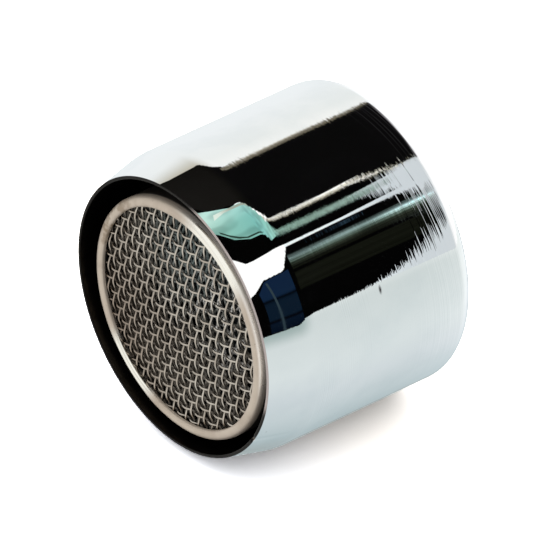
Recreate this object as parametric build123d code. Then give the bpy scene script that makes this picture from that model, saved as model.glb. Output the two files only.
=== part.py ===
from build123d import *
import os
from math import atan2, pi, sqrt, tan

# Tap aerator, in millimetres. A plated shell with an inside thread holds a loose insert: a steel cup
# with three gauzes, a spacer sleeve, a jet plate and a strainer, kept in by a rubber washer.
# The part stands on its inlet end: the origin is the middle of that end and +Z points to the outlet.

# Shell
thread_diameter = 22.0
thread_pitch = 1.0
thread_length = 5.2
entry_chamfer = 0.4
shell_wall = 1.0
inlet_bevel_width = 0.8
inlet_bevel_height = 0.5
inlet_edge_radius = 1.35
taper_length = 3.6
taper_blend_radius = 6.0
lip_width = 0.25
lip_rounding = 0.1
lip_inner_rounding = 0.06
groove_depth = 0.1
groove_run_out = 0.4
ledge_seat = 0.36
ledge_thickness = 1.2

# Steel cup, its air slots and the play around it. The loose insert lies to one side within that play.
flange_play = 0.05
cup_play = 0.36
cup_side_gap = 0.02
air_gap = 1.23
cup_sheet = 0.4
cup_recess = 0.32
cup_rim_width = 0.83
cup_edge_radius = 0.5
slot_count = 8
slot_width = 3.2
slot_height = 2.2
slot_offset = 0.2

# Gauzes: crossed ridges, each standing for a strand or two of the woven wire
insert_play = 0.08
gauze_thickness = 0.4
ridge_width = 0.34
outlet_warp_pitch = 1.22
outlet_weft_pitch = 1.70
hidden_warp_pitch = 1.70
hidden_weft_pitch = 2.37
outlet_turn = 87.1
middle_turn = 90.0
inner_turn = 64.0
# Name, warp pitch, weft pitch and turn of each layer, from the outlet inwards
gauze_stack = [
    ("outlet_gauze", outlet_warp_pitch, outlet_weft_pitch, outlet_turn),
    ("middle_gauze", hidden_warp_pitch, hidden_weft_pitch, middle_turn),
    ("inner_gauze", hidden_warp_pitch, hidden_weft_pitch, inner_turn),
]

# Spacer sleeve between the jet plate and the gauzes
sleeve_wall = 0.6
sleeve_length = 6.3

# Moulded jet plate: a tray with a flange, two rings of jets and a spreader cone
jet_flange_thickness = 1.0
tray_depth = 2.5
tray_wall = 1.0
plate_thickness = 1.2
jet_diameter = 1.2
jet_edge = 1.9
jet_ring_spacing = 3.0
outer_jets = 12
inner_jets = 6
spreader_diameter = 3.2
spreader_tip_diameter = 0.8
spreader_height = 1.4

# Slotted strainer in the mouth of the tray
strainer_seat = 0.5
strainer_sheet = 0.6
strainer_rise = 1.1
strainer_crown_diameter = 5.0
strainer_slot_width = 0.7
strainer_slot_length = 2.0
strainer_slots = 16
crown_slot_length = 3.2
crown_slot_pitch = 1.3

# Rubber washer
washer_thickness = 1.8
washer_cover = 0.12
washer_play = 0.25
washer_hole_play = 0.11

# An ISO thread's crest stands this share of its pitch inside the nominal radius.
THREAD_DEPTH_SHARE = 0.5413
# How far a cutter reaches past the wall that it cuts.
cut_margin = 0.5

thread_radius = thread_diameter / 2
minor_radius = thread_radius - THREAD_DEPTH_SHARE * thread_pitch
body_radius = thread_radius + shell_wall
groove_radius = thread_radius + groove_depth
flange_radius = minor_radius - flange_play
ledge_radius = flange_radius - ledge_seat
cup_radius = ledge_radius - cup_play
insert_offset = cup_play - cup_side_gap
cup_inner_radius = cup_radius - cup_sheet
air_radius = cup_radius + air_gap
lip_radius = air_radius + lip_width
rim_radius = cup_radius - cup_rim_width
insert_radius = cup_inner_radius - insert_play
sleeve_inner_radius = insert_radius - sleeve_wall
tray_radius = insert_radius - tray_wall
seat_radius = tray_radius + strainer_seat
strainer_radius = seat_radius - insert_play
washer_radius = thread_radius - washer_play
washer_hole_radius = strainer_radius - insert_offset - washer_cover
strainer_foot_radius = washer_hole_radius - insert_offset - washer_hole_play

# Heights, from the inlet face. The washer rests on the cone that leads from the thread to the groove.
run_out_slope = groove_run_out / (groove_radius - minor_radius)
washer_face = thread_length + run_out_slope * (washer_radius - minor_radius)
flange_face = washer_face + washer_thickness
cup_foot = flange_face + jet_flange_thickness
ledge_height = cup_foot + cup_sheet
air_floor = ledge_height + ledge_thickness
tray_floor = flange_face + tray_depth
plate_face = tray_floor + plate_thickness
slot_foot = plate_face + slot_offset
slot_top = slot_foot + slot_height
stack_foot = plate_face + sleeve_length
rim_underside = stack_foot + len(gauze_stack) * gauze_thickness
rim_face = rim_underside + cup_sheet
shell_length = rim_face + cup_recess


def side_share(corner, neighbour):
    """How much of the side between two corners the first may round: half if both are rounded."""
    length = sqrt((neighbour[0] - corner[0]) ** 2 + (neighbour[1] - corner[1]) ** 2)
    return length * (0.48 if neighbour[2] else 0.95)


def fitted_rounding(before, corner, after):
    """The corner's rounding, as far as the two sides that it joins have room for it."""
    heading_in = atan2(corner[1] - before[1], corner[0] - before[0])
    heading_out = atan2(after[1] - corner[1], after[0] - corner[0])
    turn = abs((heading_out - heading_in + pi) % (2 * pi) - pi)
    room = min(side_share(corner, before), side_share(corner, after))
    return min(corner[2], room / tan(turn / 2))


def turned(corners):
    """A solid turned about the axis from (radius, height, rounding) corners."""
    places = [(radius, height) for radius, height, _ in corners]
    neighbours = zip(corners[-1:] + corners[:-1], corners, corners[1:] + corners[:1])
    roundings = [fitted_rounding(*three) for three in neighbours]
    with BuildPart() as solid:
        with BuildSketch(Plane.XZ):
            with BuildLine():
                FilletPolyline(*places, radius=roundings, close=True)
            make_face()
        revolve(axis=Axis.Z)
    return solid.part


def tube(outer_radius, inner_radius, foot, top):
    return turned([
        (outer_radius, foot, 0),
        (outer_radius, top, 0),
        (inner_radius, top, 0),
        (inner_radius, foot, 0),
    ])


def radial_slots(count, inner_radius, outer_radius, width, foot, top):
    """Cutters that point at the axis, evenly spaced round it."""
    slot = Box(outer_radius - inner_radius, width, top - foot, align=(Align.MIN, Align.CENTER, Align.MIN))
    return [place * slot for place in Pos(0, 0, foot) * PolarLocations(inner_radius, count)]


def make_shell():
    return turned([
        (body_radius - inlet_bevel_width, 0, 0),
        (body_radius, inlet_bevel_height, inlet_edge_radius),
        (body_radius, shell_length - taper_length, taper_blend_radius),
        (lip_radius, shell_length, lip_rounding),
        (air_radius, shell_length, lip_inner_rounding),
        (air_radius, air_floor + air_radius - ledge_radius, 0),
        (ledge_radius, air_floor, 0),
        (ledge_radius, ledge_height, 0),
        (groove_radius, ledge_height, 0),
        (groove_radius, thread_length + groove_run_out, 0),
        (minor_radius, thread_length, 0),
        (minor_radius, entry_chamfer, 0),
        (minor_radius + entry_chamfer, 0, 0),
    ])


def make_screen_cup():
    cup = turned([
        (flange_radius, cup_foot, 0),
        (flange_radius, ledge_height, 0),
        (cup_radius, ledge_height, 0),
        (cup_radius, rim_face, cup_edge_radius),
        (rim_radius, rim_face, 0),
        (rim_radius, rim_underside, 0),
        (cup_inner_radius, rim_underside, 0),
        (cup_inner_radius, cup_foot, 0),
    ])
    reach = (cup_inner_radius - cut_margin, cup_radius + cut_margin)
    return cup - radial_slots(slot_count, *reach, slot_width, slot_foot, slot_top)


def make_mixing_sleeve():
    sleeve = tube(insert_radius, sleeve_inner_radius, plate_face, stack_foot)
    reach = (sleeve_inner_radius - cut_margin, insert_radius + cut_margin)
    return sleeve - radial_slots(slot_count, *reach, slot_width, plate_face, slot_top)


def make_jet_plate():
    tray = turned([
        (flange_radius, flange_face, 0),
        (flange_radius, cup_foot, 0),
        (insert_radius, cup_foot, 0),
        (insert_radius, plate_face, 0),
        (spreader_diameter / 2, plate_face, 0),
        (spreader_tip_diameter / 2, plate_face + spreader_height, 0),
        (0, plate_face + spreader_height, 0),
        (0, tray_floor, 0),
        (tray_radius, tray_floor, 0),
        (tray_radius, flange_face + strainer_sheet, 0),
        (seat_radius, flange_face + strainer_sheet, 0),
        (seat_radius, flange_face, 0),
    ])
    jet = Cylinder(jet_diameter / 2, plate_thickness + 2 * cut_margin)
    outer_ring_radius = tray_radius - jet_edge
    inner_ring_radius = outer_ring_radius - jet_ring_spacing
    plate_middle = Pos(0, 0, tray_floor + plate_thickness / 2)
    outer_ring = [place * jet for place in plate_middle * PolarLocations(outer_ring_radius, outer_jets)]
    inner_ring = [place * jet for place in plate_middle * PolarLocations(inner_ring_radius, inner_jets)]
    return tray - outer_ring - inner_ring


def make_inlet_strainer():
    crown_radius = strainer_crown_diameter / 2
    rim_top = flange_face + strainer_sheet
    crown = flange_face - strainer_rise
    cone = turned([
        (strainer_radius, flange_face, 0),
        (strainer_radius, rim_top, 0),
        (strainer_foot_radius, rim_top, 0),
        (crown_radius, crown + strainer_sheet, 0),
        (0, crown + strainer_sheet, 0),
        (0, crown, 0),
        (crown_radius, crown, 0),
        (strainer_foot_radius, flange_face, 0),
    ])
    slot_start = (crown_radius + strainer_foot_radius - strainer_slot_length) / 2
    reach = (slot_start, slot_start + strainer_slot_length)
    cone_slots = radial_slots(strainer_slots, *reach, strainer_slot_width, crown, rim_top)
    crown_slot = Box(crown_slot_length, strainer_slot_width, 2 * (strainer_sheet + cut_margin))
    crown_slots = [Pos(0, step * crown_slot_pitch, crown) * crown_slot for step in (-1, 0, 1)]
    return cone - cone_slots - crown_slots


def make_sealing_washer():
    return tube(washer_radius, washer_hole_radius, washer_face, flange_face)


def ridges(pitch, foot, disc_radius):
    """Parallel bars half the gauze's thickness high, cut to the disc, with a gap in the middle."""
    bars = []
    offset = pitch / 2
    while offset + ridge_width < disc_radius:
        half_length = sqrt(disc_radius**2 - (offset + ridge_width / 2) ** 2)
        size = (2 * half_length, ridge_width, gauze_thickness / 2)
        bar = Box(*size, align=(Align.CENTER, Align.CENTER, Align.MIN))
        bars += [Pos(0, offset, foot) * bar, Pos(0, -offset, foot) * bar]
        offset += pitch
    return bars


def make_gauze(layer, warp_pitch, weft_pitch, turn):
    """One layer, counted from the outlet. The warp lies across the weft, on its outlet side."""
    foot = rim_underside - layer * gauze_thickness
    lower = ridges(weft_pitch, foot, insert_radius)
    upper = ridges(warp_pitch, foot + gauze_thickness / 2, insert_radius)
    crossed = [Rot(0, 0, turn + 90) * bar for bar in lower] + [Rot(0, 0, turn) * bar for bar in upper]
    return crossed[0].fuse(*crossed[1:])


insert = {
    "screen_cup": make_screen_cup(),
    "mixing_sleeve": make_mixing_sleeve(),
    "jet_plate": make_jet_plate(),
    "inlet_strainer": make_inlet_strainer(),
}
for layer, (name, warp_pitch, weft_pitch, turn) in enumerate(gauze_stack, start=1):
    insert[name] = make_gauze(layer, warp_pitch, weft_pitch, turn)
pieces = {name: Pos(0, insert_offset, 0) * piece for name, piece in insert.items()}
pieces["shell"] = make_shell()
pieces["sealing_washer"] = make_sealing_washer()

os.makedirs("parts", exist_ok=True)
for name, piece in pieces.items():
    export_step(piece, f"parts/{name}.step")
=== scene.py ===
import math

import bpy
from mathutils import Matrix, Vector


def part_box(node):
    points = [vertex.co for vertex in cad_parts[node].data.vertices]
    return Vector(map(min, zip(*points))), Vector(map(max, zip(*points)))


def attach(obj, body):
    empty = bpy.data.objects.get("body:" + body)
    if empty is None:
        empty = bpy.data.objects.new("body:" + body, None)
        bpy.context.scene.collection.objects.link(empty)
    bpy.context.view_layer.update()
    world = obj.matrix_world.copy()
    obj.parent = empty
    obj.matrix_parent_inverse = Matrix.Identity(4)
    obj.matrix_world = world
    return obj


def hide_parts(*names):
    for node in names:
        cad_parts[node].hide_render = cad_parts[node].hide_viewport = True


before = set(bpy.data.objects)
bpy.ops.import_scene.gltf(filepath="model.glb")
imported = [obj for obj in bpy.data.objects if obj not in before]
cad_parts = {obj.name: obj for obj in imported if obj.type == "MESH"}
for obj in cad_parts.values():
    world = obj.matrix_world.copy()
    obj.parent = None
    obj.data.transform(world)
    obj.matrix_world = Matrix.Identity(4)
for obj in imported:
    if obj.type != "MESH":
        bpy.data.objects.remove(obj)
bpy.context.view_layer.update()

# Metres in a millimetre
MM = 0.001


def box_mm(node):
    """The lowest and the highest corner of a node, in millimetres."""
    low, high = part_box(node)
    return low / MM, high / MM


# Sizes that the solids' boxes give, in millimetres from the middle of the inlet end
shell_high = box_mm("shell")[1]
LENGTH = shell_high.z
BODY_RADIUS = shell_high.x
cup_low, cup_high = box_mm("screen_cup")
FLANGE_RADIUS = (cup_high.x - cup_low.x) / 2
INSERT_OFFSET = (cup_low.y + cup_high.y) / 2
CUP_FOOT = cup_low.z
RIM_FACE = cup_high.z
gauze_low, gauze_high = box_mm("outlet_gauze")
RIM_UNDERSIDE = gauze_high.z
GAUZE_HEIGHT = gauze_high.z - gauze_low.z
GAUZE_RADIUS = box_mm("mixing_sleeve")[1].x

# Outside of the shell
LIP_RADIUS = 11.1687
LIP_ROUNDING = 0.04
TAPER_LENGTH = 3.6
TAPER_BLEND = 6.0
INLET_BORE = 10.8587
INLET_EDGE = 11.2
INLET_CORNER = 0.5
INLET_ROUNDING = 1.35

# Bore of the shell
AIR_RADIUS = 10.9187
AIR_EDGE_ROUNDING = 0.06
AIR_FLOOR = 9.7817
LEDGE_RADIUS = 10.0487
GROOVE_RADIUS = 11.1

# Inside thread. Its depth rises along the pitch by the flank's slope, less the crest's flat.
CREST_RADIUS = 10.4587
ROOT_RADIUS = 11.0
PITCH = 1.0
THREAD_START = 0.4
THREAD_END = 5.2
THREAD_RUNOUT = 0.5
THREAD_RELIEF = 0.4
THREAD_STEP = 0.08
FLANK_SLOPE = 2.4
CREST_FLAT = 0.15

# A small nick in the lip. The rows within its reach of the lip's face dip.
NICK_ANGLE = math.radians(148.1)
NICK_WIDTH = 0.018
NICK_DEPTH = 0.14
NICK_REACH = 0.12

# Cup and its air slots
CUP_SHEET = 0.4
LEDGE = CUP_FOOT + CUP_SHEET
CUP_RADIUS = 9.6887
CUP_BORE = CUP_RADIUS - CUP_SHEET
RIM_WIDTH = 0.83
RIM_BORE = CUP_RADIUS - RIM_WIDTH
RIM_BEND = 0.5
RIM_EDGE_ROUNDING = 0.24
RIM_LOWER_ROUNDING = 0.05
SLOTS = 8
SLOT_WIDTH = 3.2
SLOT_FOOT = 11.0817
SLOT_TOP = 13.2817

# Weave of the gauzes: pitch of the two sets of wires, their diameter, and the bulge in the middle
WARP_PITCH = 0.73
WEFT_PITCH = 1.02
WIRE = 0.18
BULGE = 0.66

# How finely the meshes are divided, and the angles in degrees past which an edge is sharp
AROUND = 480
STEPS_PER_PITCH = 8
EDGE_MARGIN = 0.02
TURNED_SHARP = 35
WIRE_SHARP = 50


def rounded(corners, steps=8):
    """Points along a closed line of (radius, height, rounding) corners, each rounded by its arc."""
    points = []
    for i, (r, z, rounding) in enumerate(corners):
        if rounding == 0:
            points.append((r, z))
            continue
        here = Vector((r, z))
        before = (Vector(corners[i - 1][:2]) - here).normalized()
        after = (Vector(corners[(i + 1) % len(corners)][:2]) - here).normalized()
        half = before.angle(after) / 2
        reach = rounding / math.tan(half)
        middle = here + (before + after).normalized() * rounding / math.sin(half)
        start = here + before * reach - middle
        end = here + after * reach - middle
        turn = start.angle_signed(end)
        for k in range(steps + 1):
            spoke = start.copy()
            spoke.rotate(Matrix.Rotation(-turn * k / steps, 2))
            points.append(tuple(middle + spoke))
    return points


def held(points, margin=EDGE_MARGIN):
    """Adds points close to both ends of each long side, so that its shading stays straight."""
    shortest = 6 * margin
    result = []
    for here, after in zip(points, points[1:] + points[:1]):
        result.append(here)
        length = math.dist(here, after)
        if length > shortest:
            for share in (margin / length, 1 - margin / length):
                result.append(tuple(a + (b - a) * share for a, b in zip(here, after)))
    return result


def new_piece(name, vertices, faces, nodes, offset=0, sharp=TURNED_SHARP):
    """A smooth mesh in metres from millimetres, which stands for the nodes and hides them."""
    mesh = bpy.data.meshes.new(name)
    mesh.from_pydata([(x * MM, (y + offset) * MM, z * MM) for x, y, z in vertices], [], faces)
    mesh.validate()
    mesh.update()
    mesh.shade_smooth()
    mesh.set_sharp_from_angle(angle=math.radians(sharp))
    piece = bpy.data.objects.new(name, mesh)
    bpy.context.scene.collection.objects.link(piece)
    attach(piece, "root")
    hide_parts(*nodes)
    return piece


def lathe(rows, around=AROUND):
    """Vertices and faces of a closed turned form. A row is (radius, height), or a function of the angle."""
    vertices, faces = [], []
    for row in rows:
        for s in range(around):
            angle = 2 * math.pi * s / around
            r, z = row(angle) if callable(row) else row
            vertices.append((r * math.cos(angle), r * math.sin(angle), z))
    count = len(rows)
    for i in range(count):
        j = (i + 1) % count
        for s in range(around):
            t = (s + 1) % around
            faces.append((i * around + s, i * around + t, j * around + t, j * around + s))
    return vertices, faces


def thread_row(z):
    """One row of the right-hand inside thread: its radius swings between crest and root along the helix."""
    def place(angle):
        share = (z / PITCH - angle / (2 * math.pi)) % 1
        swing = min(1, max(0, FLANK_SLOPE * abs(share - 0.5) - CREST_FLAT))
        fade = min(1, (THREAD_END - z) / THREAD_RUNOUT, (z - THREAD_START) / THREAD_RUNOUT)
        return CREST_RADIUS + (ROOT_RADIUS - CREST_RADIUS) * swing * max(0, fade), z
    return place


def nicked_row(point):
    """One row of the lip, which dips at the nick."""
    r, z = point

    def place(angle):
        return r, z - NICK_DEPTH * math.exp(-((angle - NICK_ANGLE) / NICK_WIDTH) ** 2)
    return place


def make_shell():
    """The turned shell with its taper, lip, bore, ledge, groove and inside thread."""
    outline = rounded([
        (INLET_BORE, 0, 0),
        (INLET_EDGE, 0, 0),
        (BODY_RADIUS, INLET_CORNER, INLET_ROUNDING),
        (BODY_RADIUS, LENGTH - TAPER_LENGTH, TAPER_BLEND),
        (LIP_RADIUS, LENGTH, LIP_ROUNDING),
        (AIR_RADIUS, LENGTH, AIR_EDGE_ROUNDING),
        (AIR_RADIUS, AIR_FLOOR + AIR_RADIUS - LEDGE_RADIUS, 0),
        (LEDGE_RADIUS, AIR_FLOOR, 0),
        (LEDGE_RADIUS, LEDGE, 0),
        (GROOVE_RADIUS, LEDGE, 0),
        (GROOVE_RADIUS, THREAD_END + THREAD_RELIEF, 0),
    ], steps=10)
    # The thread takes the closing side, so the two points that hold that side are left out
    plain = held(outline)[:-2]
    rows = [nicked_row(point) if point[1] > LENGTH - NICK_REACH else point for point in plain]
    steps = round((THREAD_END - THREAD_START) / THREAD_STEP)
    thread = [thread_row(THREAD_END - THREAD_STEP * k) for k in range(steps + 1)]
    vertices, faces = lathe(rows + thread)
    return new_piece("chrome_shell", vertices, faces, ["shell"])


def cut_slots(faces, outer, inner):
    """Opens the air slots through the outer and the inner row of faces, and closes their four sides."""
    half = round(SLOT_WIDTH / CUP_RADIUS / 2 / (2 * math.pi) * AROUND)
    period = AROUND // SLOTS
    kept = []
    for index, face in enumerate(faces):
        row, step = divmod(index, AROUND)
        in_slot = (step + half) % period < 2 * half
        if not (row in (outer, inner) and in_slot):
            kept.append(face)
    for slot in range(SLOTS):
        first = slot * period - half
        last = slot * period + half
        for row_a, row_b in ((outer, inner + 1), (outer + 1, inner)):
            for s in range(first, last):
                a = s % AROUND
                b = (s + 1) % AROUND
                quad = (row_a * AROUND + a, row_a * AROUND + b, row_b * AROUND + b, row_b * AROUND + a)
                kept.append(quad if row_a == outer else quad[::-1])
        for s in (first, last):
            quad = tuple(row * AROUND + s % AROUND for row in (outer, outer + 1, inner, inner + 1))
            kept.append(quad if s == last else quad[::-1])
    return kept


def make_cup():
    """The drawn cup with its inturned rim, its flange and its air slots."""
    profile = rounded([
        (FLANGE_RADIUS, CUP_FOOT, 0),
        (FLANGE_RADIUS, LEDGE, 0),
        (CUP_RADIUS, LEDGE, 0),
        (CUP_RADIUS, SLOT_FOOT, 0),
        (CUP_RADIUS, SLOT_TOP, 0),
        (CUP_RADIUS, RIM_FACE - RIM_BEND - EDGE_MARGIN, 0),
        (CUP_RADIUS, RIM_FACE, RIM_BEND),
        (CUP_RADIUS - RIM_BEND - EDGE_MARGIN, RIM_FACE, 0),
        (RIM_BORE + RIM_EDGE_ROUNDING + EDGE_MARGIN, RIM_FACE, 0),
        (RIM_BORE, RIM_FACE, RIM_EDGE_ROUNDING),
        (RIM_BORE, RIM_UNDERSIDE, RIM_LOWER_ROUNDING),
        (CUP_BORE, RIM_UNDERSIDE, 0),
        (CUP_BORE, SLOT_TOP, 0),
        (CUP_BORE, SLOT_FOOT, 0),
        (CUP_BORE, CUP_FOOT, 0),
    ])
    vertices, faces = lathe(profile)
    outer = profile.index((CUP_RADIUS, SLOT_FOOT))
    inner = profile.index((CUP_BORE, SLOT_TOP))
    faces = cut_slots(faces, outer, inner)
    return new_piece("steel_cup", vertices, faces, ["screen_cup"], INSERT_OFFSET)


def wire(points, radius, sides=8):
    """Vertices and faces of a wire along points, closed at both ends."""
    vertices, faces = [], []
    for i, here in enumerate(points):
        ahead = points[min(i + 1, len(points) - 1)] - points[max(i - 1, 0)]
        across = ahead.cross(Vector((0, 0, 1))).normalized()
        above = across.cross(ahead).normalized()
        for k in range(sides):
            angle = 2 * math.pi * k / sides
            vertices.append(here + across * radius * math.cos(angle) + above * radius * math.sin(angle))
    for i in range(len(points) - 1):
        for k in range(sides):
            m = (k + 1) % sides
            faces.append((i * sides + k, i * sides + m, (i + 1) * sides + m, (i + 1) * sides + k))
    last = (len(points) - 1) * sides
    faces.append(tuple(range(sides))[::-1])
    faces.append(tuple(last + k for k in range(sides)))
    return vertices, faces


def heading(degrees):
    """The flat direction at an angle."""
    angle = math.radians(degrees)
    return Vector((math.cos(angle), math.sin(angle), 0))


def make_gauze(name, node, layer, warp_angle, weft_angle, shift):
    """A plain weave cut to the disc: each wire runs over and under the wires that it crosses.

    shift moves the weave in its plane: the number of pitches across the warp and across the weft.
    """
    middle = RIM_UNDERSIDE - (layer - 0.5) * GAUZE_HEIGHT
    swing = GAUZE_HEIGHT / 2 - WIRE / 2
    vertices, faces = [], []
    warp = (warp_angle, WARP_PITCH, shift[0])
    weft = (weft_angle, WEFT_PITCH, shift[1])
    for wires, crossed, side in ((warp, weft, 1), (weft, warp, -1)):
        angle, pitch, ahead = wires
        other_angle, other_pitch, other_ahead = crossed
        run = heading(angle)
        step = heading(angle + 90)
        other_step = heading(other_angle + 90)
        reach = int(GAUZE_RADIUS / pitch) + 1
        for i in range(-reach, reach + 1):
            offset = (i + ahead) * pitch
            if abs(offset) > GAUZE_RADIUS - WIRE:
                continue
            half = math.sqrt((GAUZE_RADIUS - EDGE_MARGIN) ** 2 - (abs(offset) + WIRE / 2) ** 2)
            count = max(4, int(2 * half / other_pitch * STEPS_PER_PITCH))
            points = []
            for k in range(count + 1):
                flat = run * (-half + 2 * half * k / count) + step * offset
                phase = math.pi * (flat.dot(other_step) / other_pitch - other_ahead + i)
                bulge = BULGE * max(0, 1 - (flat.length / RIM_BORE) ** 2)
                points.append(flat + Vector((0, 0, middle + bulge + side * swing * math.cos(phase))))
            new_vertices, new_faces = wire(points, WIRE / 2)
            base = len(vertices)
            vertices += [tuple(v) for v in new_vertices]
            faces += [tuple(base + n for n in face) for face in new_faces]
    return new_piece(name, vertices, faces, [node], INSERT_OFFSET, WIRE_SHARP)


shell = make_shell()
cup = make_cup()
gauzes = [
    make_gauze("outlet_weave", "outlet_gauze", 1, 87.1, 1.4, (0.35, -0.43)),
    make_gauze("middle_weave", "middle_gauze", 2, 90.0, 4.3, (0.85, 0.07)),
    make_gauze("inner_weave", "inner_gauze", 3, 64.0, -24.0, (0, 0)),
]


# Azimuth of the side that faces the camera, in degrees
FACING = -138.6

# The whole turns that azimuths and elevations are shares of, in degrees
FULL_TURN = 360
HALF_TURN = 180

# Where a Mix node has its colour sockets
MIX_FIRST = 6
MIX_SECOND = 7
MIX_RESULT = 2


def round_place(azimuth, radius, height):
    """A place in metres, at an azimuth in degrees from the side that faces the camera."""
    angle = math.radians(FACING + azimuth)
    return radius * math.cos(angle) * MM, radius * math.sin(angle) * MM, height * MM


def turn_share(angle, turn):
    """An angle either side of the middle, as a share of the whole turn from 0 to 1."""
    return angle / turn + 0.5


class Nodes:
    """Short calls to add and join shader nodes in one tree. Values may be numbers or sockets."""

    def __init__(self, tree):
        self.tree = tree

    def add(self, kind, **values):
        node = self.tree.nodes.new(kind)
        for name, value in values.items():
            setattr(node, name, value)
        return node

    def put(self, value, target):
        if isinstance(value, bpy.types.NodeSocket):
            self.tree.links.new(value, target)
        elif isinstance(value, tuple) and len(value) == 3 and target.type == "RGBA":
            target.default_value = (*value, 1)
        else:
            target.default_value = value

    def put_all(self, values, node):
        for value, target in zip(values, node.inputs):
            self.put(value, target)
        return node.outputs[0]

    def math(self, operation, first, second=0.0):
        return self.put_all((first, second), self.add("ShaderNodeMath", operation=operation))

    def times(self, first, second):
        return self.math("MULTIPLY", first, second)

    def span(self, value, start, end, low=0.0, high=1.0):
        """Runs smoothly from low to high while the value goes from start to end."""
        node = self.add("ShaderNodeMapRange", interpolation_type="SMOOTHSTEP")
        return self.put_all((value, start, end, low, high), node)

    def rise(self, value, start, end, low=0.0, high=1.0):
        """The same for a length, with start and end in millimetres."""
        return self.span(value, start * MM, end * MM, low, high)

    def below(self, height, face, depths):
        """Runs from 0 to 1 between two depths below a face, in millimetres."""
        return self.rise(height, face - depths[0], face - depths[1])

    def mix(self, share, first, second, blend="MIX"):
        node = self.add("ShaderNodeMix", data_type="RGBA", blend_type=blend)
        self.put(share, node.inputs[0])
        self.put(first, node.inputs[MIX_FIRST])
        self.put(second, node.inputs[MIX_SECOND])
        return node.outputs[MIX_RESULT]

    def mix_shaders(self, share, first, second):
        return self.put_all((share, first, second), self.add("ShaderNodeMixShader"))

    def background(self, colour, strength):
        return self.put_all((colour, strength), self.add("ShaderNodeBackground"))

    def ramp(self, value, stops, turn):
        """Colours at angles, on a ramp that spans the whole turn round the middle."""
        node = self.add("ShaderNodeValToRGB")
        elements = node.color_ramp.elements
        while len(elements) < len(stops):
            elements.new(0.5)
        for element, (angle, colour) in zip(elements, stops):
            element.position = turn_share(angle, turn)
            element.color = (*colour, 1)
        return self.put_all((value,), node)

    def split(self, vector):
        node = self.add("ShaderNodeSeparateXYZ")
        self.put(vector, node.inputs[0])
        return node.outputs

    def scaled(self, vector, scale, place=(0, 0, 0), turn=(0, 0, 0), kind="POINT"):
        return self.put_all((vector, place, turn, scale), self.add("ShaderNodeMapping", vector_type=kind))

    def noise(self, vector, scale, detail=2.0):
        node = self.add("ShaderNodeTexNoise")
        self.put(vector, node.inputs["Vector"])
        self.put(scale, node.inputs["Scale"])
        self.put(detail, node.inputs["Detail"])
        return node.outputs["Fac"]

    def bump(self, height, distance, shader):
        """A bump of a height in millimetres."""
        node = self.add("ShaderNodeBump")
        self.put(height, node.inputs["Height"])
        self.put(distance * MM, node.inputs["Distance"])
        self.put(node.outputs["Normal"], shader.inputs["Normal"])

    def group(self, tree, *values):
        return self.put_all(values, self.add("ShaderNodeGroup", node_tree=tree))

    def seen_directly(self):
        """1 for what the camera or the plating sees, 0 for light that the plating throws on the floor."""
        depth = self.add("ShaderNodeLightPath").outputs["Diffuse Depth"]
        return self.math("SUBTRACT", 1.0, self.math("MINIMUM", depth, 1.0))


def new_group(name, vectors, numbers, output):
    """A node group with inputs for vectors and then for numbers, and one output for a number."""
    tree = bpy.data.node_groups.new(name, "ShaderNodeTree")
    for label in vectors:
        tree.interface.new_socket(label, in_out="INPUT", socket_type="NodeSocketVector")
    for label in numbers:
        tree.interface.new_socket(label, in_out="INPUT", socket_type="NodeSocketFloat")
    tree.interface.new_socket(output, in_out="OUTPUT", socket_type="NodeSocketFloat")
    nodes = Nodes(tree)
    return tree, nodes, nodes.add("NodeGroupInput").outputs, nodes.add("NodeGroupOutput").inputs[0]


def make_blotches():
    """A mask of soft patches: where a noise of so many cells to a metre rises from one level to the next."""
    tree, nodes, given, result = new_group("blotches", ["Vector"], ["Scale", "From", "To"], "Mask")
    nodes.put(nodes.span(nodes.noise(given[0], given[1], 4.0), given[2], given[3]), result)
    return tree


def make_near():
    """A mask that is 1 at a place and falls to 0 at a distance from it."""
    tree, nodes, given, result = new_group("near", ["Vector", "Place"], ["Distance"], "Mask")
    apart = nodes.add("ShaderNodeVectorMath", operation="DISTANCE")
    nodes.put_all(given[:2], apart)
    nodes.put(nodes.span(apart.outputs["Value"], given[2], 0.0), result)
    return tree


def make_axis_distance():
    """How far a point lies from the axis through the given place."""
    tree, nodes, given, result = new_group("axis_distance", ["Vector", "Place"], [], "Radius")
    apart = nodes.put_all(given[:2], nodes.add("ShaderNodeVectorMath", operation="SUBTRACT"))
    x, y, _ = nodes.split(apart)
    squares = nodes.math("ADD", nodes.times(x, x), nodes.times(y, y))
    nodes.put(nodes.math("SQRT", squares), result)
    return tree


blotches = make_blotches()
near = make_near()
axis_distance = make_axis_distance()

# A point on the insert's axis, in metres
INSERT_AXIS = (0, INSERT_OFFSET * MM, 0)

# Stains, and the places of painted light, painted highlights, painted shadow, a painted reflection and
# painted glints: azimuth from the side that faces the camera, radius, height and reach
BORE_PAINTED_LIGHT = (-10, 11, LENGTH - 0.5, 13.5)
SPECK = (-68.5, 11.25, 18.4, 0.14)
RIM_STAIN = (109.6, 8.8, RIM_FACE, 6.5)
RIM_PAINTED_LIGHT = (-5, 9.7, RIM_FACE - 0.4, 12.5)
NEAR_PAINTED_HIGHLIGHT = (18, 9.6, RIM_FACE - 0.1, 5.5)
FAR_PAINTED_HIGHLIGHT = (-168, 8.8, RIM_FACE - 0.1, 4)
GAUZE_PAINTED_SHADOW = (170, 9, RIM_UNDERSIDE, 12)
PAINTED_BLUE_REFLECTION = (35, 6.5, RIM_UNDERSIDE, 9)
PAINTED_GLINTS = (-15, 6, RIM_UNDERSIDE, 9)

# A dark mark on the plating: its place as above, its size in metres, and its reach in such sizes
MARK_PLACE = (-22.2, BODY_RADIUS, 8.6)
MARK_SIZE = (1.0 * MM, 0.42 * MM, 0.15 * MM)
MARK_REACH = 1.2

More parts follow.
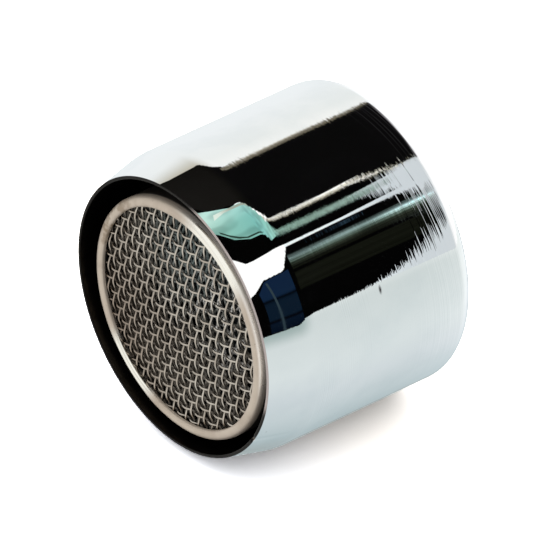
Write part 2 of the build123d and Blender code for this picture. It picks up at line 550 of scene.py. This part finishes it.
# Depths below the lip's face, the rim's face and the rim's underside between which the finish changes
LIP_FACE_DEPTHS = (0.05, 0.03)
LIP_EDGE_DEPTHS = (0.12, 0.04)
PAINTED_LIGHT_DEPTHS = (0.06, 0.22)
PAINTED_HIGHLIGHT_DEPTHS = (0.5, 0.4)
SHADED_WALL_DEPTHS = (0.64, 0.88)
LOWER_LAYER_DEPTHS = (0.1, GAUZE_HEIGHT)

# Radii at which the shell's bore begins, and heights between which it goes from brass to dark
BORE_RADII = (11.17, 11.12)
BRASS_TO_DARK = (6.5, 9.5)

# Polishing lines: their size in metres and tilt, and the heights between which they grow and fade
LINE_SIZE = (17 * MM, 17 * MM, 0.14 * MM)
LINE_TILT = (-0.06, -0.05, 0)
LINES_FROM_TAPER = (15.8, 13.5)
LINES_TO_MIDDLE = (12.5, 9.5)
LINES_TO_INLET = (5.2, 3.0)


def new_material(name, **values):
    material = bpy.data.materials.new(name)
    material.use_nodes = True
    nodes = Nodes(material.node_tree)
    shader = material.node_tree.nodes["Principled BSDF"]
    for label, value in values.items():
        nodes.put(value, shader.inputs[label])
    place = nodes.add("ShaderNodeTexCoord").outputs["Object"]
    return material, nodes, shader, place


def spot(nodes, place, stain):
    """A mask round the middle of a stain, which ends at its reach."""
    azimuth, radius, height, reach = stain
    return nodes.group(near, place, round_place(azimuth, radius, height), reach * MM)


def chrome():
    """Bright plating outside, brass in the thread, a dark bore with painted light on one side, and painted
    shade on the lip's edge.
    """
    material, nodes, shader, place = new_material("chrome_plate")
    height = nodes.split(place)[2]
    radius = nodes.group(axis_distance, place, (0, 0, 0))
    lip_face = nodes.below(height, LENGTH, LIP_FACE_DEPTHS)
    inside = nodes.math("MAXIMUM", nodes.rise(radius, *BORE_RADII), lip_face)
    haze = nodes.group(blotches, place, 260.0, 0.4, 0.7)
    plated = nodes.mix(haze, (0.92, 0.93, 0.935), (0.87, 0.89, 0.9))
    bore_mottle = nodes.group(blotches, place, 900.0, 0.35, 0.65)
    dull = nodes.mix(bore_mottle, (0.12, 0.105, 0.09), (0.08, 0.07, 0.06))
    brass = nodes.mix(bore_mottle, (0.55, 0.47, 0.33), (0.42, 0.35, 0.24))
    bore = nodes.mix(nodes.rise(height, *BRASS_TO_DARK), brass, dull)
    # The bore is dark. Painted light: it is pale on one side. Painted shade: the lip's edge is near black,
    # but lighter on that pale side.
    painted_light = nodes.span(spot(nodes, place, BORE_PAINTED_LIGHT), 0.1, 0.6)
    bore = nodes.mix(painted_light, bore, (0.88, 0.82, 0.75))
    edge = nodes.below(height, LENGTH, LIP_EDGE_DEPTHS)
    wear_and_painted_shade = nodes.mix(nodes.span(painted_light, 0.2, 0.6), (0.008, 0.007, 0.006), (0.5, 0.43, 0.41))
    bore = nodes.mix(edge, bore, wear_and_painted_shade)
    # A dark mark on the straight part and a speck near the lip
    mark_turn = (0, 0, math.radians(FACING + MARK_PLACE[0]))
    mark = nodes.scaled(place, MARK_SIZE, round_place(*MARK_PLACE), mark_turn, "TEXTURE")
    mark = nodes.group(near, mark, (0, 0, 0), MARK_REACH)
    marks = nodes.math("MAXIMUM", mark, nodes.times(spot(nodes, place, SPECK), 0.6))
    colour = nodes.mix(inside, plated, bore)
    nodes.put(nodes.mix(marks, colour, (0.03, 0.022, 0.03)), shader.inputs["Base Color"])
    rough = nodes.span(inside, 0.0, 1.0, nodes.span(haze, 0.0, 1.0, 0.012, 0.03), 0.2)
    nodes.put(nodes.math("MAXIMUM", rough, nodes.times(marks, 0.6)), shader.inputs["Roughness"])
    dulled = nodes.times(nodes.times(inside, painted_light), 0.8)
    nodes.put(nodes.math("SUBTRACT", 1.0, dulled), shader.inputs["Metallic"])
    # Polishing lines, a little askew: none on the taper, and shallowest in the middle of the straight part
    lines = nodes.noise(nodes.scaled(place, LINE_SIZE, (0, 0, 0), LINE_TILT, "TEXTURE"), 1.0, 1.0)
    depth = nodes.rise(height, *LINES_FROM_TAPER)
    depth = nodes.times(depth, nodes.rise(height, *LINES_TO_MIDDLE, 1.1, 0.65))
    depth = nodes.times(depth, nodes.rise(height, *LINES_TO_INLET, 1.0, 1.7))
    nodes.bump(nodes.times(lines, depth), 0.009, shader)
    return material


def cup_steel():
    """Drawn steel with stains, painted light on one side of the bend, two painted highlights, and painted
    shade on the wall below the bend.
    """
    material, nodes, shader, place = new_material("cup_steel")
    height = nodes.split(place)[2]
    cloud = nodes.group(blotches, place, 420.0, 0.35, 0.7)
    steel = nodes.mix(cloud, (0.66, 0.57, 0.47), (0.57, 0.48, 0.39))
    patches = nodes.group(blotches, place, 1100.0, 0.47, 0.6)
    stain = nodes.times(spot(nodes, place, RIM_STAIN), patches)
    specks = nodes.group(blotches, place, 2600.0, 0.68, 0.74)
    marks = nodes.math("MAXIMUM", nodes.times(stain, 0.75), nodes.times(specks, 0.5))
    steel = nodes.mix(marks, steel, (0.27, 0.19, 0.11))
    # Painted light: a pale patch on one side of the bend, which brightens it as light would
    painted_light_side = nodes.span(spot(nodes, place, RIM_PAINTED_LIGHT), 0.1, 0.55)
    painted_light = nodes.times(painted_light_side, nodes.below(height, RIM_FACE, PAINTED_LIGHT_DEPTHS))
    steel = nodes.mix(painted_light, steel, (0.98, 0.92, 0.85))
    # Painted highlights: two near-white, smoother, more metallic patches, on the near bend and on the far
    # inner edge
    painted_highlight = nodes.math("MAXIMUM", spot(nodes, place, NEAR_PAINTED_HIGHLIGHT), spot(nodes, place, FAR_PAINTED_HIGHLIGHT))
    painted_highlight = nodes.times(nodes.span(painted_highlight, 0.0, 0.6), nodes.below(height, RIM_FACE, PAINTED_HIGHLIGHT_DEPTHS))
    steel = nodes.mix(painted_highlight, steel, (0.98, 0.96, 0.88))
    # Painted shade: the wall below the bend, deep in the gap, is near black
    painted_wall_shade = nodes.below(height, RIM_FACE, SHADED_WALL_DEPTHS)
    nodes.put(nodes.mix(painted_wall_shade, steel, (0.03, 0.026, 0.022)), shader.inputs["Base Color"])
    metal = nodes.span(painted_light, 0.0, 1.0, 0.45, 0.65)
    nodes.put(nodes.math("MAXIMUM", metal, painted_highlight), shader.inputs["Metallic"])
    matt = nodes.span(cloud, 0.0, 1.0, 0.42, 0.52)
    smooth = nodes.math("MAXIMUM", nodes.times(painted_highlight, 0.28), nodes.times(painted_light, 0.22))
    nodes.put(nodes.math("SUBTRACT", matt, smooth), shader.inputs["Roughness"])
    # Fine rings left by the drawing, so many to a metre of radius and of height
    radius = nodes.group(axis_distance, place, INSERT_AXIS)
    counts = (nodes.times(radius, 9000.0), nodes.times(height, 2500.0))
    rings = nodes.put_all(counts, nodes.add("ShaderNodeCombineXYZ"))
    nodes.bump(nodes.noise(rings, 1.0, 1.0), 0.0015, shader)
    return material


def gauze_wire():
    """Steel wires with painted shade on their flanks and in the layers below, a painted rim shadow, a
    painted bluish reflection and painted glints.
    """
    material, nodes, shader, place = new_material("gauze_wire")
    height = nodes.split(place)[2]
    slope = nodes.split(nodes.add("ShaderNodeTexCoord").outputs["Normal"])[2]
    cloud = nodes.group(blotches, place, 600.0, 0.35, 0.65)
    bright = nodes.mix(cloud, (0.62, 0.575, 0.51), (0.48, 0.43, 0.37))
    # Painted shadow of the rim: the wires are darker on the far side
    painted_rim_shadow = spot(nodes, place, GAUZE_PAINTED_SHADOW)
    bright = nodes.mix(painted_rim_shadow, bright, (0.35, 0.29, 0.24))
    # Painted shade: the wires are dark on their flanks and bright on top
    upper = nodes.mix(nodes.span(slope, 0.5, 0.15), bright, (0.09, 0.075, 0.06))
    # Painted shade: the layers below are dark brown and dull. Painted reflection: they are bluish towards
    # one side. Painted glints: a few bright wires shine through.
    brown = nodes.mix(cloud, (0.26, 0.23, 0.19), (0.19, 0.165, 0.13))
    brown = nodes.mix(painted_rim_shadow, brown, (0.11, 0.085, 0.06))
    # Painted reflection: a bluish tint towards one side
    painted_blue_reflection = nodes.times(spot(nodes, place, PAINTED_BLUE_REFLECTION), 0.8)
    lower = nodes.mix(painted_blue_reflection, brown, (0.2, 0.28, 0.28))
    # Painted glints: bright, bare patches on a few wires below
    patches = nodes.group(blotches, place, 900.0, 0.5, 0.56)
    painted_glints = nodes.times(spot(nodes, place, PAINTED_GLINTS), patches)
    lower = nodes.mix(painted_glints, lower, (0.85, 0.84, 0.82))
    # Depth below the bulged outer layer, past which the wires take the painted shade of the layers below
    share = nodes.math("DIVIDE", nodes.group(axis_distance, place, INSERT_AXIS), RIM_BORE * MM)
    bulge = nodes.times(nodes.math("SUBTRACT", 1.0, nodes.times(share, share)), BULGE * MM)
    level = nodes.math("SUBTRACT", height, nodes.math("MAXIMUM", bulge, 0.0))
    depth = nodes.below(level, RIM_UNDERSIDE, LOWER_LAYER_DEPTHS)
    nodes.put(nodes.mix(depth, upper, lower), shader.inputs["Base Color"])
    dull = nodes.times(depth, nodes.math("SUBTRACT", 1.0, painted_glints))
    nodes.put(nodes.math("SUBTRACT", 1.0, dull), shader.inputs["Metallic"])
    gloss = nodes.span(cloud, 0.0, 1.0, 0.16, 0.28)
    nodes.put(nodes.math("ADD", gloss, nodes.times(dull, 0.5)), shader.inputs["Roughness"])
    nodes.bump(nodes.noise(place, 9000.0, 2.0), 0.002, shader)
    return material


def moulded(name, colour, wear_and_painted_shade, roughness, grain, distance):
    """Plastic or rubber: cloudy colour, patchy gloss and a fine grain."""
    material, nodes, shader, place = new_material(name)
    cloud = nodes.group(blotches, place, 320.0, 0.3, 0.7)
    flecks = nodes.times(nodes.group(blotches, place, 2200.0, 0.62, 0.7), 0.35)
    body = nodes.mix(cloud, colour, wear_and_painted_shade)
    nodes.put(nodes.mix(flecks, body, (0.5, 0.48, 0.44)), shader.inputs["Base Color"])
    nodes.put(nodes.span(cloud, 0.0, 1.0, roughness, roughness + 0.15), shader.inputs["Roughness"])
    nodes.bump(nodes.noise(place, grain, 3.0), distance, shader)
    return material


def dress(piece, material):
    piece.data.materials.clear()
    piece.data.materials.append(material)


dress(shell, chrome())
dress(cup, cup_steel())
wire_steel = gauze_wire()
for gauze in gauzes:
    dress(gauze, wire_steel)
dark_plastic = moulded("dark_acetal", (0.022, 0.032, 0.036), (0.035, 0.046, 0.05), 0.38, 5000.0, 0.006)
for node in ("mixing_sleeve", "jet_plate"):
    dress(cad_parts[node], dark_plastic)
pale_plastic = moulded("pale_acetal", (0.62, 0.64, 0.63), (0.52, 0.53, 0.5), 0.35, 5000.0, 0.006)
dress(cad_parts["inlet_strainer"], pale_plastic)
rubber = moulded("black_rubber", (0.02, 0.02, 0.02), (0.04, 0.039, 0.037), 0.55, 3500.0, 0.02)
dress(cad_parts["sealing_washer"], rubber)


# Camera: the photo's size and scale in pixels, the outlet's middle there, and where the lens is
PHOTO_SIZE = 540
PHOTO_MIDDLE = 269.5
PIXELS_PER_MM = 13.54
OUTLET_PIXEL = (172.14, 317.04)
CAMERA_DISTANCE = 1200
TO_CAMERA = (-0.6393, -0.564, 0.5226)
PHOTO_RIGHT = (-0.633, 0, -0.774)
SENSOR = 36
# How near and how far the camera sees, in metres
NEAREST = 0.01
FARTHEST = 4


def make_camera():
    """The photo's long lens, from beside and above the outlet, rolled as the part lies on its side."""
    to_camera = Vector(TO_CAMERA).normalized()
    right = Vector(PHOTO_RIGHT)
    right = (right - to_camera * right.dot(to_camera)).normalized()
    up = to_camera.cross(right)
    aim = Vector((0, 0, LENGTH))
    aim += right * ((PHOTO_MIDDLE - OUTLET_PIXEL[0]) / PIXELS_PER_MM)
    aim += up * ((OUTLET_PIXEL[1] - PHOTO_MIDDLE) / PIXELS_PER_MM)
    lens = bpy.data.cameras.new("camera")
    lens.sensor_width = SENSOR
    lens.lens = SENSOR * CAMERA_DISTANCE * PIXELS_PER_MM / PHOTO_SIZE
    lens.clip_start = NEAREST
    lens.clip_end = FARTHEST
    camera = bpy.data.objects.new("camera", lens)
    bpy.context.scene.collection.objects.link(camera)
    turn = Matrix((right, up, to_camera)).transposed()
    camera.matrix_world = Matrix.Translation((aim + to_camera * CAMERA_DISTANCE) * MM) @ turn.to_4x4()
    bpy.context.scene.camera = camera


make_camera()


# Studio cards round the part, seen in reflections only. Angles are from the side that faces the camera.
# A card's distance and middle are in millimetres, and the steps between its rows in degrees.
CARD_DISTANCE = 40
CARD_MIDDLE = 9.5
CARD_COLUMNS = 12
SMOOTH_STEP = 0.8
RAGGED_STEP = 0.15
# Two uneven steps of a ragged card's sway, in radians to a row
FAST_SWAY = 2.3
SLOW_SWAY = 0.7
# Levels of a noise between which a fine line goes from dark to bright
LINE_LEVELS = (0.38, 0.62)


def stage_piece(name, vertices, faces, material):
    """A mesh outside the object: it casts no shadow, and only reflections or the camera see it."""
    mesh = bpy.data.meshes.new(name)
    mesh.from_pydata(vertices, [], faces)
    mesh.materials.append(material)
    piece = bpy.data.objects.new(name, mesh)
    bpy.context.scene.collection.objects.link(piece)
    piece.visible_diffuse = False
    piece.visible_shadow = False
    return piece


def glow(name, colour=(1, 1, 1), across=None, upward=None, lines=None, fade=None):
    """Light of one colour, times colours at stops of azimuth and of elevation, and broken by fine lines.

    lines gives how many lines there are to a degree of azimuth and of elevation, and their darkest share.
    fade gives the azimuths and the elevations from which the card is clear to where it is full.
    """
    material = bpy.data.materials.new(name)
    material.use_nodes = True
    nodes = Nodes(material.node_tree)
    material.node_tree.nodes.clear()
    spread = nodes.add("ShaderNodeTexCoord").outputs["UV"]
    angles = nodes.split(spread)
    for stops, turn, angle in ((across, FULL_TURN, angles[0]), (upward, HALF_TURN, angles[1])):
        if stops:
            colour = nodes.mix(1.0, colour, nodes.ramp(angle, stops, turn), "MULTIPLY")
    if lines:
        across_lines, upward_lines, darkest = lines
        counts = (FULL_TURN * across_lines, HALF_TURN * upward_lines, 1)
        pattern = nodes.noise(nodes.scaled(spread, counts), 1.0, 1.0)
        colour = nodes.mix(1.0, colour, nodes.span(pattern, *LINE_LEVELS, darkest, 1.0), "MULTIPLY")
    surface = nodes.put_all((colour, nodes.seen_directly()), nodes.add("ShaderNodeEmission"))
    if fade:
        spans = [nodes.span(angle, turn_share(clear, turn), turn_share(full, turn))
                 for angle, (clear, full), turn in zip(angles, fade, (FULL_TURN, HALF_TURN))]
        see_through = nodes.add("ShaderNodeBsdfTransparent").outputs[0]
        surface = nodes.mix_shaders(nodes.times(*spans), see_through, surface)
    nodes.put(surface, nodes.add("ShaderNodeOutputMaterial").inputs["Surface"])
    return material


def card(name, rows, material, layer=0.0, ragged=0.0):
    """A card between two edges: rows of (left azimuth, left elevation, right azimuth, right elevation).

    layer brings it nearer to the part, in millimetres, and ragged is how far its rows sway, in degrees.
    """
    stride = RAGGED_STEP if ragged else SMOOTH_STEP
    fine = []
    for first, second in zip(rows, rows[1:]):
        steps = math.ceil(max(abs(a - b) for a, b in zip(first, second)) / stride)
        for k in range(steps):
            fine.append([a + (b - a) * k / steps for a, b in zip(first, second)])
    fine.append(rows[-1])
    vertices, faces, angles = [], [], []
    distance = CARD_DISTANCE - layer
    for i, (left, left_up, right, right_up) in enumerate(fine):
        sway = ragged * math.sin(FAST_SWAY * i) * math.sin(SLOW_SWAY * i + 1)
        for k in range(CARD_COLUMNS + 1):
            azimuth = left + (right - left) * k / CARD_COLUMNS + sway
            elevation = left_up + (right_up - left_up) * k / CARD_COLUMNS
            angles.append((turn_share(azimuth, FULL_TURN), turn_share(elevation, HALF_TURN)))
            tilt = math.radians(elevation)
            height = CARD_MIDDLE + distance * math.sin(tilt)
            vertices.append(round_place(azimuth, distance * math.cos(tilt), height))
    row = CARD_COLUMNS + 1
    for i in range(len(fine) - 1):
        for k in range(CARD_COLUMNS):
            a = i * row + k
            faces.append((a, a + 1, a + row + 1, a + row))
    piece = stage_piece(name, vertices, faces, material)
    piece.visible_camera = False
    spread = piece.data.uv_layers.new(name="angles")
    for loop, corner in zip(piece.data.loops, spread.data):
        corner.uv = angles[loop.vertex_index]


def band(points, width):
    """Rows of a narrow card along points of (azimuth, elevation)."""
    half = width / 2
    return [(azimuth - half, elevation, azimuth + half, elevation) for azimuth, elevation in points]


black = glow("black_card", (0.001, 0.001, 0.001))
olive = glow("olive_card", (0.007, 0.008, 0.005), lines=(0.8, 0.02, 0.6))

# Dark panel on the left, with olive, blue and pale stripes on it
card("left_panel", [
    (-35, 13, -16, 13),
    (-35.4, 8.2, -8, 9.2),
    (-35.4, 6.7, -2.7, 7.9),
    (-34.7, 1, -1.6, 1.8),
    (-33, -4.5, 3, -4),
    (-33.2, -13, 9.8, -12.7),
    (-33.3, -21.8, 10.7, -21.8),
    (-31.5, -25.7, 10.9, -25.2),
    (-26.8, -28.5, 11, -28),
    (-18, -31.6, 10, -30.2),
    (-11, -33.8, 6, -31.6),
], black, ragged=0.35)
card("olive_panel", [(-16.5, -8.4, -5.8, -8.3), (-16.6, -31.3, -5.8, -31)], olive, layer=0.3)
card("olive_edge", [(-4, -8.3, 1, -8.3), (-4, -18, 1.2, -18), (-4, -30.5, -1, -30.5)], olive, layer=0.3)
card("blue_panel", [
    (-34.7, 7.9, -9.4, 9),
    (-34.6, 6.9, -3.8, 8.1),
    (-34.6, 5.8, -3, 7),
    (-34.4, 0.8, -2.7, 1.8),
    (-33.6, -4, -2.4, -3.2),
], glow("blue_card", across=[
    (-34, (0.002, 0.005, 0.013)),
    (-29.5, (0.003, 0.008, 0.019)),
    (-29, (0.001, 0.001, 0.002)),
    (-28, (0.001, 0.001, 0.002)),
    (-27.8, (0.016, 0.026, 0.036)),
    (-26.8, (0.004, 0.011, 0.023)),
    (-17, (0.004, 0.011, 0.023)),
    (-16.2, (0.001, 0.002, 0.004)),
    (-14.8, (0.001, 0.002, 0.004)),
    (-14, (0.006, 0.018, 0.045)),
    (-4, (0.006, 0.017, 0.045)),
]), layer=0.5)
card("blue_line", [(-35.4, 6.5, -35.4, 6.2), (-16.1, 7.5, -16.1, 7.25), (-4.8, 8.1, -4.8, 7.85)],
     glow("blue_line_card", (0.03, 0.05, 0.062)), layer=0.8)
card("streak", [
    (-3, -8.6, 5.2, -8.6),
    (-3, -26, 5.2, -26),
    (-4.5, -29, 5.6, -29),
    (-7, -31.5, 6, -31.5),
], glow("streak_card", across=[
    (-6, (0.02, 0.024, 0.02)),
    (-3, (0.008, 0.01, 0.007)),
    (-1.1, (0.03, 0.036, 0.024)),
    (0.4, (0.08, 0.11, 0.08)),
    (1.6, (0.28, 0.4, 0.34)),
    (2.6, (0.5, 0.7, 0.66)),
    (3.4, (0.46, 0.66, 0.64)),
    (4.4, (0.06, 0.08, 0.07)),
    (5.2, (0.02, 0.024, 0.02)),
], upward=[
    (-31, (2.4, 2.4, 2.6)),
    (-29.5, (1.7, 1.7, 1.8)),
    (-27.4, (1.2, 1.2, 1.2)),
    (-24.6, (0.5, 0.5, 0.5)),
    (-22, (1, 1, 1)),
    (-16, (0.65, 0.65, 0.65)),
], lines=(2.4, 0.06, 0.35)), layer=0.6, ragged=0.5)
card("smudge", [(7.3, -21.8, 9.8, -21.8), (7.8, -23.2, 9.8, -23.2)],
     glow("smudge_card", (0.02, 0.04, 0.06)), layer=0.6)
card("panel_shade", [(-50, 14, -34, 14), (-50, -18, -32, -18)],
     glow("shade_card", (0.39, 0.48, 0.46), fade=((-46, -35), (-17, 5))), layer=-0.3)

# Narrow dark panel in the middle, and the mint panel that hangs over it with its stripe
card("backing", [(28, 13, 64, 10), (28, 6, 64, 2)], black, layer=-0.2)
card("narrow_panel", [
    (30, 13, 40, 13),
    (18.3, 9.9, 32, 9.6),
    (10.7, 8.7, 32, 8.6),
    (10.4, 7.8, 32, 7),
    (11.2, 5.2, 24, 4.8),
    (11.5, -1.9, 22.1, -2.1),
    (11.7, -12.8, 22.8, -12.9),
    (12, -21.9, 22.9, -22),
    (12.6, -24.7, 21.7, -24.8),
    (13.5, -28.8, 18, -27),
], black, ragged=0.2)
card("filler", [
    (21.4, -10, 30.2, -8.8),
    (21.6, -18, 27.6, -18.2),
    (21.6, -24.8, 28.4, -24.9),
    (23.5, -29.3, 26.5, -29.4),
], black)
card("mint_panel", [
    (40, 13, 60, 12),
    (35.5, 8.7, 56, 7.4),
    (26.8, 7.9, 51, 6.3),
    (22.7, 6.5, 46.1, 4.9),
    (20.9, 1.4, 44.4, 0.1),
    (16.4, -1.3, 43.7, -1.2),
    (17.1, -4.8, 35.9, -5.5),
    (17.8, -8.5, 27.4, -8.7),
], glow("mint_card", across=[
    (18, (1.1, 1.05, 1.05)),
    (28, (0.9, 0.95, 0.95)),
    (36, (1, 1, 1)),
    (47, (2, 1.45, 1.5)),
], upward=[
    (-7, (0.36, 0.71, 0.61)),
    (0, (0.28, 0.63, 0.57)),
    (4, (0.24, 0.58, 0.52)),
    (8, (0.3, 0.6, 0.51)),
], lines=(0.12, 0.3, 0.72)), layer=0.3)
card("mint_stripe", [
    (17.8, -8.5, 27.4, -8.7),
    (18, -12.1, 21.4, -12.2),
    (18, -24.8, 21.6, -24.8),
    (18.3, -28.4, 22.4, -28.5),
], glow("mint_stripe_card", upward=[
    (-29, (0.6, 0.66, 0.66)),
    (-26, (0.44, 0.62, 0.54)),
    (-18, (0.42, 0.64, 0.52)),
    (-9, (0.36, 0.7, 0.6)),
], lines=(0.25, 2.6, 0.2)), layer=0.3, ragged=1.6)
card("mint_line", [
    (34.4, 8.5, 36.1, 8.4),
    (29.6, 8.1, 31.2, 8),
    (26, 7.5, 27.4, 7.4),
    (23.8, 6.7, 24.9, 6.7),
    (22.4, 2.8, 23, 2),
], glow("mint_line_card", (0.03, 0.06, 0.045)), layer=0.6)
card("cream_edge", [
    (43.9, 7.4, 47.4, 6.8),
    (45.1, 5.9, 46.8, 5.8),
    (43.6, 4.1, 45.2, 4),
    (43, 0.2, 44.4, 0.1),
    (40.5, -2.3, 42.4, -2.5),
], glow("cream_card", upward=[
    (0, (0.4, 0.44, 0.36)),
    (5, (0.4, 0.44, 0.36)),
    (6.4, (0.8, 0.9, 0.8)),
]), layer=0.6)
card("cream_seam", band([
    (31.7, -7.4),
    (29.4, -10.5),
    (28.5, -16.2),
    (28.4, -18),
    (28.2, -23.8),
    (29.5, -25.5),
    (28.9, -27.2),
    (26.2, -30),
    (25.6, -31),
], 1.5), glow("seam_card", (1.0, 0.94, 0.72), lines=(0.25, 2.6, 0.1)), layer=0.4, ragged=1.7)

# Dark panel on the right, with its tan edge
card("right_panel", [
    (60, 13, 95, 10),
    (59, 6.5, 92, 1.4),
    (50.6, 6.4, 89.7, 0.9),
    (46.3, 3.9, 85.6, -1.3),
    (45.4, 1.4, 85.7, -3.5),
    (38, -5.6, 79.2, -9),
    (30.1, -13, 77.5, -16.5),
    (29.8, -22, 77.5, -23.8),
    (30.9, -25.5, 77.7, -27.2),
    (26.5, -30.5, 75.8, -32),
    (26, -45, 76.5, -45),
], glow("right_card", upward=[
    (-45, (1, 0.99, 1)),
    (-40, (0.3, 0.29, 0.3)),
    (-37.5, (0.06, 0.058, 0.06)),
    (-34.6, (0.003, 0.003, 0.003)),
    (-9, (0.003, 0.0028, 0.003)),
    (-2, (0.006, 0.0055, 0.0045)),
    (6, (0.01, 0.009, 0.008)),
]))
card("tan_strip", [
    (72.2, -12.5, 75.9, -12.8),
    (74.3, -19.7, 77.5, -19.9),
    (74.5, -27, 77.7, -27.2),
    (73.4, -30.9, 76, -31),
    (71.9, -35, 75.6, -35),
], glow("strip_card", across=[
    (73.4, (0.02, 0.018, 0.014)),
    (75, (0.3, 0.27, 0.19)),
    (75.9, (0.1, 0.085, 0.06)),
    (77, (0.5, 0.46, 0.36)),
    (78, (0.75, 0.7, 0.6)),
]), layer=0.3, ragged=0.6)
card("tan_side", [(86, 11, 112, 11), (84, 1, 112, -2), (76, -14, 104, -16)],
     glow("tan_card", (0.42, 0.37, 0.26), fade=((106, 82), (-14, 4))), layer=-0.5)

# Pale cards below and above, and the colours of the room round about
ROOM = [
    (-179, (0.66, 0.71, 0.72)),
    (-168, (0.42, 0.48, 0.48)),
    (-158, (0.37, 0.42, 0.42)),
    (-140, (0.45, 0.54, 0.56)),
    (-120, (0.56, 0.64, 0.66)),
    (-95, (0.68, 0.74, 0.76)),
    (-75, (0.74, 0.8, 0.8)),
    (-37, (0.67, 0.73, 0.72)),
    (-10, (1.12, 1.12, 1.1)),
    (60, (1.12, 1.12, 1.08)),
    (82, (1.02, 1.01, 0.97)),
    (104, (0.9, 0.92, 0.9)),
    (140, (0.91, 0.94, 0.95)),
    (168, (0.89, 0.93, 0.94)),
    (179, (0.66, 0.71, 0.72)),
]
card("low_panel", [(-33.2, -12, 26, -12), (-33, -26, 26.5, -26), (-33.4, -45, 27, -45)],
     glow("low_card", upward=[
         (-40, (1, 1, 1)),
         (-36, (0.68, 0.72, 0.74)),
         (-29, (0.65, 0.7, 0.73)),
         (-25, (0.78, 0.84, 0.86)),
         (-18, (0.92, 0.98, 0.98)),
         (-12, (1, 1.05, 1.05)),
     ]), layer=-1)
card("floor_side", [(-178, -6, -33.3, -6), (-178, -80, -33.3, -80)],
     glow("floor_side_card", across=ROOM, upward=[
         (-50, (1.35, 1.3, 1.3)),
         (-37, (1.18, 1.15, 1.15)),
         (-33, (1.06, 1.05, 1.05)),
         (-30, (1, 1, 1)),
         (-15, (1, 1, 1)),
     ], fade=((-178, -158), (-6, -24))), layer=-1.5)
card("high_panel", [(-12, 80, 97, 80), (-12, 24, 97, 24)],
     glow("high_card", across=[
         (-10, (0.72, 0.72, 0.71)),
         (20, (0.92, 0.92, 0.9)),
         (60, (0.92, 0.92, 0.9)),
         (95, (0.72, 0.72, 0.71)),
     ]), layer=-1)


def make_world():
    """Soft light, stronger from above the floor, the room for reflections, and white for the camera."""
    world = bpy.data.worlds.new("room")
    bpy.context.scene.world = world
    world.use_nodes = True
    nodes = Nodes(world.node_tree)
    world.node_tree.nodes.clear()
    rays = nodes.add("ShaderNodeLightPath").outputs
    x, y, z = nodes.split(nodes.add("ShaderNodeTexCoord").outputs["Generated"])
    azimuth = nodes.math("SUBTRACT", nodes.math("ARCTAN2", y, x), math.radians(FACING))
    turns = nodes.math("ADD", nodes.math("DIVIDE", azimuth, 2 * math.pi), 0.5)
    walls = nodes.ramp(nodes.math("FRACT", turns), ROOM, FULL_TURN)
    overhead = nodes.mix(nodes.span(y, -0.5, 0.3), (0.58, 0.58, 0.57), (0.9, 0.89, 0.86))
    room = nodes.mix(nodes.span(z, 0.05, 0.45), walls, overhead)
    room = nodes.mix(nodes.span(z, -0.6, -0.75), room, (1.15, 1.15, 1.15))
    light = nodes.mix(nodes.span(y, 0.0, -0.8), (0.6, 0.6, 0.6), (1.2, 1.2, 1.2))
    surface = nodes.background(light, 1.0)
    reflected = nodes.background(room, nodes.seen_directly())
    surface = nodes.mix_shaders(rays["Is Glossy Ray"], surface, reflected)
    surface = nodes.mix_shaders(rays["Is Camera Ray"], surface, nodes.background((1, 1, 1), 1.0))
    nodes.put(surface, nodes.add("ShaderNodeOutputWorld").inputs["Surface"])


make_world()

# Half the floor's side. The part lies on it, so it touches the shell's side.
FLOOR_REACH = 400


def make_floor(name):
    """A white floor for the camera only, see-through from behind, which shows the part's soft shadow.

    Its colours are past white, as the photo's floor is overexposed: only the deep part of the shadow shows.
    """
    material, nodes, shader, place = new_material(name, Roughness=0.9, Metallic=0.0)
    shader.inputs["Specular IOR Level"].default_value = 0
    # Painted bounce light: the floor runs from warm to cool along the part, which shows only in the shadow
    painted_bounce_tint = nodes.mix(nodes.rise(nodes.split(place)[2], 4, 20), (2.78, 2.66, 2.52), (2.66, 2.7, 2.82))
    patch = nodes.times(nodes.group(blotches, place, 90.0, 0.3, 0.7), 0.3)
    nodes.put(nodes.mix(patch, painted_bounce_tint, (2.7, 2.7, 2.7)), shader.inputs["Base Color"])
    front = nodes.math("SUBTRACT", 1.0, nodes.add("ShaderNodeNewGeometry").outputs["Backfacing"])
    nodes.put(front, shader.inputs["Alpha"])
    level = BODY_RADIUS * MM
    reach = FLOOR_REACH * MM
    ways = ((-1, -1), (1, -1), (1, 1), (-1, 1))
    corners = [(x * reach, level, z * reach) for x, z in ways]
    piece = stage_piece(name, corners, [(0, 1, 2, 3)], material)
    piece.visible_glossy = False


make_floor("photo_floor")

bpy.context.scene.view_settings.view_transform = "Standard"
